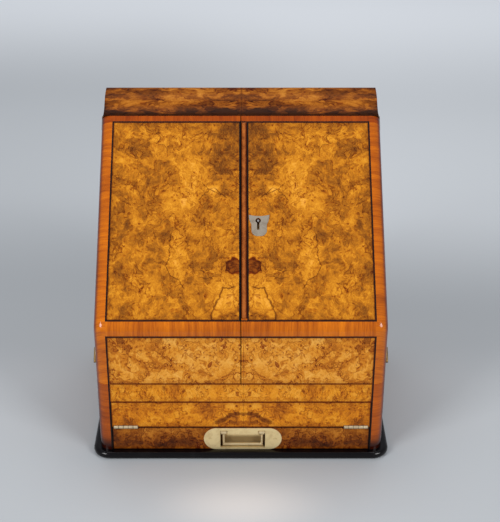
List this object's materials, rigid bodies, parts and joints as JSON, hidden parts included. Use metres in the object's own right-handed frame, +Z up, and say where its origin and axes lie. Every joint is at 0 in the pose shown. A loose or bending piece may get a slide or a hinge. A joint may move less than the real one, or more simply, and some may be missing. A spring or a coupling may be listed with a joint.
{
  "type": "stationery box",
  "caption": "Slope-front stationery box in burr walnut, with wrap-around doors, a moulded lid, a fitted letter rack, a pen tray and a pull-out writing slope.",
  "frame": {"origin": "middle of the underside of the base moulding", "axes": "+X to the viewer's right across the doors, +Y to the back, +Z up"},
  "size_m": [0.352, 0.265, 0.3742],
  "materials": {
    "burr_walnut": "polished burr walnut veneer",
    "dark_burr": "polished dark burr walnut veneer",
    "crossbanded_walnut": "polished cross-banded walnut",
    "plain_walnut": "polished straight-grained walnut",
    "ebony": "polished ebony",
    "ebonised_wood": "ebonised and polished",
    "secondary_wood": "plain, unpolished",
    "interior_wood": "satin",
    "brass": "satin",
    "nickel": "worn nickel plate",
    "steel": "polished",
    "glass": "clear",
    "leather": "smooth"
  },
  "bodies": {
    "case": {"back_panel": "plain_walnut", "base_moulding": "ebonised_wood", "bottom_board": "secondary_wood", "case_hinge_pins": "brass", "case_stringing": "ebony", "divider_back": "interior_wood", "divider_front": "interior_wood", "divider_middle": "interior_wood", "door_hinge_case_leaves": "brass", "dust_board": "secondary_wood", "front_rail": "plain_walnut", "front_rail_burr": "burr_walnut", "inkwell_collars": "brass", "left_inkwell_glass": "glass", "left_lining": "interior_wood", "left_side": "plain_walnut", "left_stile": "crossbanded_walnut", "lid_hinge_case_leaves": "brass", "pen_tray": "interior_wood", "rack_partition": "interior_wood", "right_inkwell_glass": "glass", "right_lining": "interior_wood", "right_side": "plain_walnut", "right_stile": "crossbanded_walnut", "slide_guides": "secondary_wood"},
    "lid": {"lid_core": "plain_walnut", "lid_burr": "dark_burr", "lid_hinge_leaves": "brass"},
    "left_door": {"left_door_core": "crossbanded_walnut", "left_door_slope_burr": "burr_walnut", "left_door_front_burr": "burr_walnut", "left_door_stringing": "ebony", "left_door_hinge_leaves": "brass", "strike_plate": "brass"},
    "right_door": {"right_door_core": "crossbanded_walnut", "right_door_slope_burr": "burr_walnut", "right_door_front_burr": "burr_walnut", "right_door_stringing": "ebony", "right_door_hinge_leaves": "brass", "astragal_bead": "crossbanded_walnut", "escutcheon": "nickel", "lock_case": "brass", "lock_pin": "steel"},
    "lock_bolt_body": {"lock_bolt": "brass"},
    "writing_slope": {"writing_lower_leaf": "plain_walnut", "writing_upper_leaf": "plain_walnut", "writing_lower_burr": "burr_walnut", "writing_upper_burr": "burr_walnut", "writing_boards": "plain_walnut", "writing_leathers": "leather", "writing_hinge_lower_leaves": "brass", "writing_hinge_upper_leaves": "brass", "writing_hinge_pins": "brass", "handle_plate": "brass", "handle_pin": "brass", "handle_screws": "brass"},
    "bail": {"handle_bail": "brass"},
    "left_cap": {"left_inkwell_cap": "brass"},
    "right_cap": {"right_inkwell_cap": "brass"}
  },
  "joints": [
    {"name": "lid_hinge", "type": "hinge", "parent": "case", "child": "lid", "pos_m": [0, 0.1249, 0.35032], "axis": [-1, 0, 0], "range_deg": [0, 100]},
    {"name": "left_door_hinge", "type": "hinge", "parent": "case", "child": "left_door", "pos_m": [-0.1684, -0.112, 0.1225], "axis": [0, -0.695, -0.719], "range_deg": [0, 120]},
    {"name": "right_door_hinge", "type": "hinge", "parent": "case", "child": "right_door", "pos_m": [0.1684, -0.112, 0.1225], "axis": [0, 0.695, 0.719], "range_deg": [0, 120]},
    {"name": "lock_bolt_slide", "type": "slide", "parent": "right_door", "child": "lock_bolt_body", "axis": [-1, 0, 0], "range_m": [0, 0.007]},
    {"name": "writing_slope_slide", "type": "slide", "parent": "case", "child": "writing_slope", "axis": [0, -1, 0], "range_m": [0, 0.2]},
    {"name": "handle_bail_hinge", "type": "hinge", "parent": "writing_slope", "child": "bail", "pos_m": [0.0022, -0.122, 0.0329], "axis": [-1, 0, 0], "range_deg": [0, 90]},
    {"name": "left_inkwell_cap_hinge", "type": "hinge", "parent": "case", "child": "left_cap", "pos_m": [-0.12, -0.051, 0.12865], "axis": [-1, 0, 0], "range_deg": [0, 110]},
    {"name": "right_inkwell_cap_hinge", "type": "hinge", "parent": "case", "child": "right_cap", "pos_m": [0.12, -0.051, 0.12865], "axis": [-1, 0, 0], "range_deg": [0, 110]}
  ]
}
